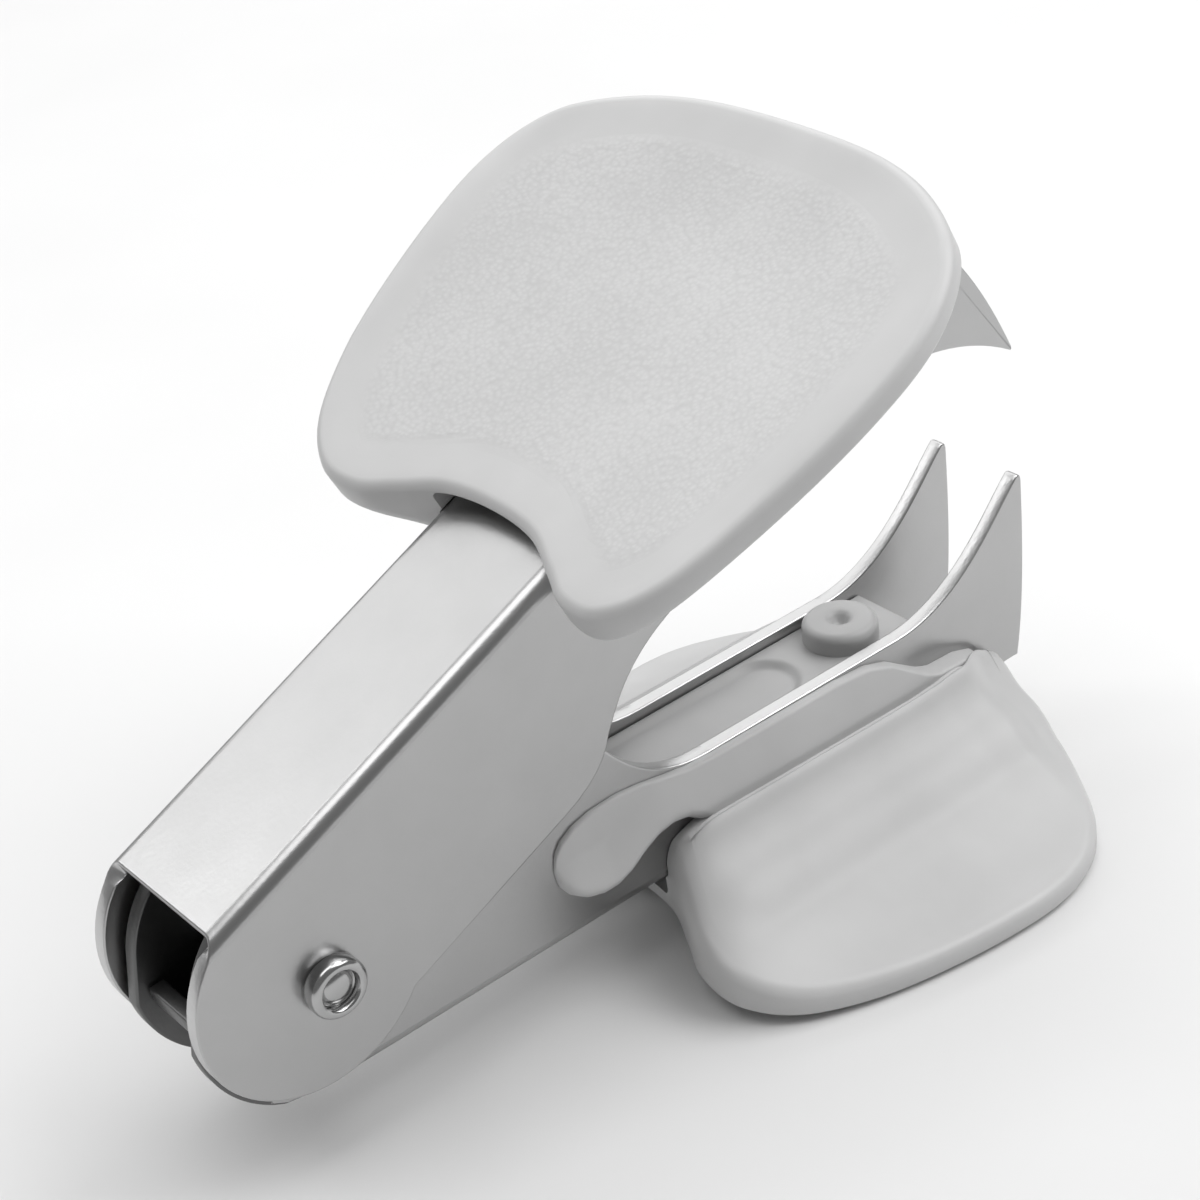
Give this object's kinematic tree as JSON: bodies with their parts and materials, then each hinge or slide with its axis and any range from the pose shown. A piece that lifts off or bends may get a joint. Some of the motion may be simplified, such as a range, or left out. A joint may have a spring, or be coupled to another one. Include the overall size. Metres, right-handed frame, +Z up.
{
  "type": "staple remover",
  "caption": "Claw staple remover with two nested steel jaws on a hollow rivet, sprung open, and a wide plastic finger pad on each jaw.",
  "frame": {"origin": "middle of the object's footprint, on the surface that it stands on", "axes": "+X from the pivot to the claws, +Y across the jaws to the left, +Z up; the lower jaw lies level and the upper jaw is open at rest"},
  "size_m": [0.063, 0.0378, 0.046],
  "materials": {
    "plated_steel": "bright nickel-plated sheet",
    "grey_plastic": "satin light grey, finely stippled pads",
    "rivet_steel": "bright plated",
    "spring_wire": "drawn spring wire"
  },
  "bodies": {
    "lower_half": {"lower_jaw": "plated_steel", "lower_grip": "grey_plastic", "lower_core": "grey_plastic", "pivot_rivet": "rivet_steel", "spring_bush": "rivet_steel", "torsion_spring": "spring_wire"},
    "upper_half": {"upper_jaw": "plated_steel", "upper_grip": "grey_plastic", "upper_core": "grey_plastic"}
  },
  "joints": [
    {"name": "jaw_hinge", "type": "hinge", "parent": "lower_half", "child": "upper_half", "pos_m": [-0.02342, 0, 0.0125], "axis": [0, 1, 0], "range_deg": [0, 16], "stiffness_Nm_per_rad": 0.12, "springref_deg": -34.38, "deforming": ["torsion_spring"]}
  ]
}
